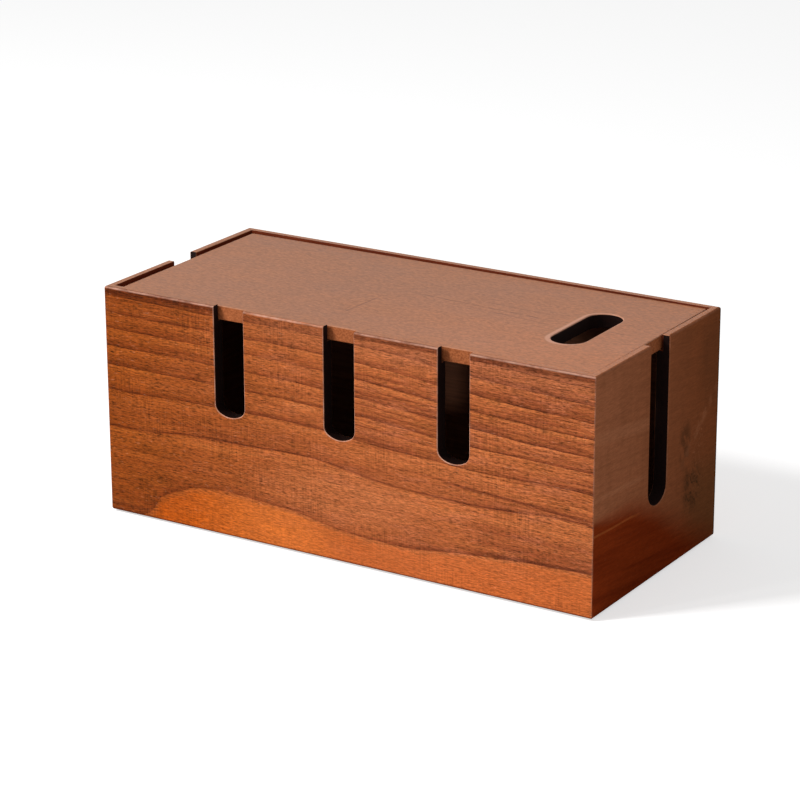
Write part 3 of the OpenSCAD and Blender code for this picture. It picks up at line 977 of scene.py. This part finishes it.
lid = prism("lid_board", rounded_plan(LID_L, LID_W, LID_CORNER_R), LID_T, lid_stain)
hole = arc((HOLE_X, HOLE_STRAIGHT), HOLE_W / 2, 0, 180, 24)
hole += arc((HOLE_X, -HOLE_STRAIGHT), HOLE_W / 2, 180, 360, 24)
hole_cutter = prism("hole_cutter", [(x, y, -OVER) for x, y in hole], LID_T + 2 * OVER, cut_stain)
boolean = lid.modifiers.new("hole", "BOOLEAN")
boolean.object, boolean.operation, boolean.solver = hole_cutter, "DIFFERENCE", "EXACT"
boolean.material_mode = "TRANSFER"
keep_result(lid)
lid.data.materials.append(lid_edge)
for face in lid.data.polygons:
    if face.material_index == 0 and abs(face.normal.z) < 0.5:
        face.material_index = len(lid.data.materials) - 1

# %% Ease the lid's edges and lay it on the ledge
LID_EASE, LID_RUB_AND_HIGHLIGHT = 0.42, 0.45
ease_edges(lid, lambda a, b: LID_EASE, lambda place: LID_RUB_AND_HIGHLIGHT if place.z > LID_T / 2 else 0.0)
askew = Matrix.Rotation(math.radians(LID_TURN_DEGREES), 4, "Z")
lid.data.transform(Matrix.Translation((LID_SHIFT * MM, 0, (FOOT_STAND + LEDGE_Z) * MM)) @ askew)

# %% [markdown]
# ## Four of a kind
# The corner tongues and the feet come in fours, one at each corner. One tree puts copies of a part on the
# corners of a rectangle and turns each copy to suit its corner.

# %% The tree that copies a part to four corners
corner_tree = bpy.data.node_groups.new("four_corners", "GeometryNodeTree")
corner_tree.interface.new_socket("Part", in_out="INPUT", socket_type="NodeSocketGeometry")
for size_name in ("Length", "Width", "Turn"):
    corner_tree.interface.new_socket(size_name, in_out="INPUT", socket_type="NodeSocketFloat")
corner_tree.interface.new_socket("Finish", in_out="INPUT", socket_type="NodeSocketMaterial")
corner_tree.interface.new_socket("Parts", in_out="OUTPUT", socket_type="NodeSocketGeometry")
corner_in, corner_out = corner_tree.nodes.new("NodeGroupInput"), corner_tree.nodes.new("NodeGroupOutput")
wish = {s.name: Flow(corner_tree, s) for s in corner_in.outputs if s.name}
inputs = {"Size X": wish["Length"], "Size Y": wish["Width"], "Vertices X": 2, "Vertices Y": 2}
grid = add_flow(corner_tree, "GeometryNodeMeshGrid", inputs)
corner_x, corner_y, _ = split(add_flow(corner_tree, "GeometryNodeInputPosition"))
angle = (corner_x * corner_y).sign() * wish["Turn"]
turn = add_flow(corner_tree, "ShaderNodeCombineXYZ", {2: angle})
inputs = {"Points": grid, "Instance": wish["Part"], "Rotation": turn}
copies = add_flow(corner_tree, "GeometryNodeInstanceOnPoints", inputs)
copies = add_flow(corner_tree, "GeometryNodeRealizeInstances", {"Geometry": copies})
copies = add_flow(corner_tree, "GeometryNodeSetMaterial", {"Geometry": copies, "Material": wish["Finish"]})
corner_tree.links.new(copies.socket, corner_out.inputs[0])
print("corner tree:", len(corner_tree.nodes), "nodes")


# %% The rectangle that the copies stand on
def corner_sizes(inset):
    """Length and width of a rectangle whose corners lie this far inside the box's own, in mm."""
    return {"Length": (BOX_L - 2 * inset) * MM, "Width": (BOX_W - 2 * inset) * MM}


# %% [markdown]
# ## Tongues and feet
# A tongue is a slip of beech across the mitre, and its end grain shows under the box. A foot is a moulded
# rubber button, so its section is drawn once and spun: a softly rounded edge and a shallow dish in the
# middle that lets it grip like a cup.

# %% The four tongues
TONGUE_ROUND = 0.2
tongue_plan = rounded_plan(TONGUE_L, TONGUE_T, TONGUE_ROUND, steps=2)
tongues = prism("corner_tongues", tongue_plan, TONGUE_TOP, beech)
across_mitre = {**corner_sizes(TONGUE_INSET), "Turn": math.radians(-45), "Finish": beech}
run_tree(tongues, corner_tree, across_mitre)
tongues.data.transform(Matrix.Translation((0, 0, FOOT_STAND * MM)))

# %% The four feet
def foot_section():
    """Half section of a foot from its underside's middle to its top's middle, as (radius, height) in mm."""
    dish = [(0, 0.25), (1.6, 0.22), (2.8, 0.12), (3.6, 0.0)]
    turns = [math.radians(a) for a in range(0, 91, 15)]
    middle = FOOT_R - FOOT_ROUND
    edge = [(middle + FOOT_ROUND * math.sin(t), FOOT_ROUND - FOOT_ROUND * math.cos(t)) for t in turns]
    return dish + edge + [(FOOT_R + 0.5, 2.9), (FOOT_R + 1, FOOT_TOP), (0, FOOT_TOP)]


bm = bmesh.new()
ring = [bm.verts.new(Vector((r, 0, z)) * MM) for r, z in foot_section()]
section = ring + [bm.edges.new(pair) for pair in zip(ring, ring[1:])]
bmesh.ops.spin(bm, geom=section, cent=(0, 0, 0), axis=(0, 0, 1), angle=math.tau, steps=40, use_merge=True)
bmesh.ops.remove_doubles(bm, verts=bm.verts, dist=WELD)
bmesh.ops.recalc_face_normals(bm, faces=bm.faces)
feet = piece_from(bm, "rubber_feet", rubber)
run_tree(feet, corner_tree, {**corner_sizes(FOOT_INSET), "Turn": 0.0, "Finish": rubber})
shade(feet.data, 40)
print("feet:", len(feet.data.polygons), "faces")

# %% [markdown]
# ## Who rides on what
# The lid is a body of its own, so that it can lift off. Everything else is glued up as the carcass. The base
# stays the frame's own solid and only takes its finish.

# %% Hand the pieces over
for leftover in (front_cutter, end_cutter, hole_cutter):
    bpy.data.objects.remove(leftover)
CORNERS = ("front_left", "front_right", "back_left", "back_right")
for piece, body, nodes, finish in (
    (front, "carcass", ["front_panel"], "walnut_board"),
    (back, "carcass", ["back_panel"], "walnut_board"),
    (left, "carcass", ["left_end_panel"], "walnut_board"),
    (right, "carcass", ["right_end_panel"], "walnut_board"),
    (lid, "lid", ["lid"], "lid_board"),
    (tongues, "carcass", [f"corner_spline_{c}" for c in CORNERS], "spline_wood"),
    (feet, "carcass", [f"foot_pad_{c}" for c in CORNERS], "foot_rubber"),
):
    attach(piece, body)
    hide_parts(*nodes)
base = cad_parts["base_panel"]
base.data.materials.clear()
base.data.materials.append(ply_stain)

# %% [markdown]
# ## The studio
# A white floor and a white surround. The key lamp stands at the front left and is soft enough to blur the
# shadows' edges. A second, weaker lamp stands low beside it and reaches in under the rim and through the
# slots, and the room's own light fills the rest. The floor adds a little light of its own for the camera and
# for reflections only, so that it reads white and still keeps the box's shadow.

# %% Floor
def seen_rays(tree):
    """1 for rays from the camera, and for those that a glossy or clear surface sends on."""
    rays = tree.nodes.new("ShaderNodeLightPath")
    seen = Flow(tree, rays.outputs["Is Camera Ray"])
    for other in ("Is Glossy Ray", "Is Transmission Ray"):
        seen = seen.larger(Flow(tree, rays.outputs[other]))
    return seen


PAPER, FLOOR_GLOW, FLOOR_HALF_M = (0.82, 0.82, 0.82, 1), 0.6, 6
floor_finish = bpy.data.materials.new("studio_floor")
floor_finish.use_nodes = True
tree = floor_finish.node_tree
tree.nodes.clear()
paper = add_flow(tree, "ShaderNodeBsdfDiffuse", {"Color": PAPER})
glow = add_flow(tree, "ShaderNodeEmission", {"Strength": seen_rays(tree) * FLOOR_GLOW})
both = add_node(tree, "ShaderNodeAddShader", {0: paper, 1: glow})
tree.links.new(both.outputs[0], tree.nodes.new("ShaderNodeOutputMaterial").inputs[0])
bm = bmesh.new()
bmesh.ops.create_grid(bm, x_segments=4, y_segments=4, size=FLOOR_HALF_M)
floor = piece_from(bm, "studio_floor", floor_finish)

# %% The room's light
ROOM_LIGHT = 0.28
world = bpy.data.worlds.new("studio")
bpy.context.scene.world = world
world.use_nodes = True
tree = world.node_tree
tree.nodes.clear()
inputs = {"Color": (1, 1, 1, 1), "Strength": seen_rays(tree) * (1 - ROOM_LIGHT) + ROOM_LIGHT}
room = add_node(tree, "ShaderNodeBackground", inputs)
tree.links.new(room.outputs[0], tree.nodes.new("ShaderNodeOutputWorld").inputs[0])


# %% Two lamps
def direction(azimuth, elevation):
    """The way from the box to a lamp or camera, in degrees from the front to the right and upwards."""
    a, e = math.radians(azimuth), math.radians(elevation)
    return Vector((math.sin(a) * math.cos(e), -math.cos(a) * math.cos(e), math.sin(e)))


# name, azimuth and elevation in degrees, distance and size in metres, watts
LAMPS = [("key_lamp", -38, 43, 1.7, 0.3, 19.8), ("low_lamp", -26, 8.5, 1.7, 0.12, 4.6)]
LAMP_AIM = Vector((0, 0, 0.07))
for name, azimuth, elevation, distance, size, watts in LAMPS:
    light = bpy.data.lights.new(name, "AREA")
    light.size, light.energy = size, watts
    lamp = bpy.data.objects.new(name, light)
    lamp.location = LAMP_AIM + distance * direction(azimuth, elevation)
    lamp.rotation_euler = (LAMP_AIM - lamp.location).to_track_quat("-Z", "Y").to_euler()
    bpy.context.collection.objects.link(lamp)
print("lamps:", [row[0] for row in LAMPS])

# %% [markdown]
# ## The camera
# A long lens from well back keeps the box's edges nearly parallel, as a catalogue picture has them. The
# camera is placed by the way it looks and how far it stands back, which is easier to adjust than three
# coordinates.

# %% Camera
CAMERA_AIM, CAMERA_BACK_OFF = Vector((-0.0051, -0.0011, 0.0715)), 1.6407
CAMERA_AZIMUTH, CAMERA_ELEVATION, CAMERA_ROLL = 31.95, 18.794, -0.186
LENS_MM, SENSOR_MM = 135.22, 36
camera_data = bpy.data.cameras.new("camera")
camera_data.lens, camera_data.sensor_width = LENS_MM, SENSOR_MM
camera = bpy.data.objects.new("camera", camera_data)
bpy.context.collection.objects.link(camera)
back_off = direction(CAMERA_AZIMUTH, CAMERA_ELEVATION)
camera.location = CAMERA_AIM + CAMERA_BACK_OFF * back_off
roll = Matrix.Rotation(math.radians(CAMERA_ROLL), 4, "Z")
camera.rotation_euler = ((-back_off).to_track_quat("-Z", "Y").to_matrix().to_4x4() @ roll).to_euler()
bpy.context.scene.camera = camera
bpy.context.scene.view_settings.view_transform = "Standard"
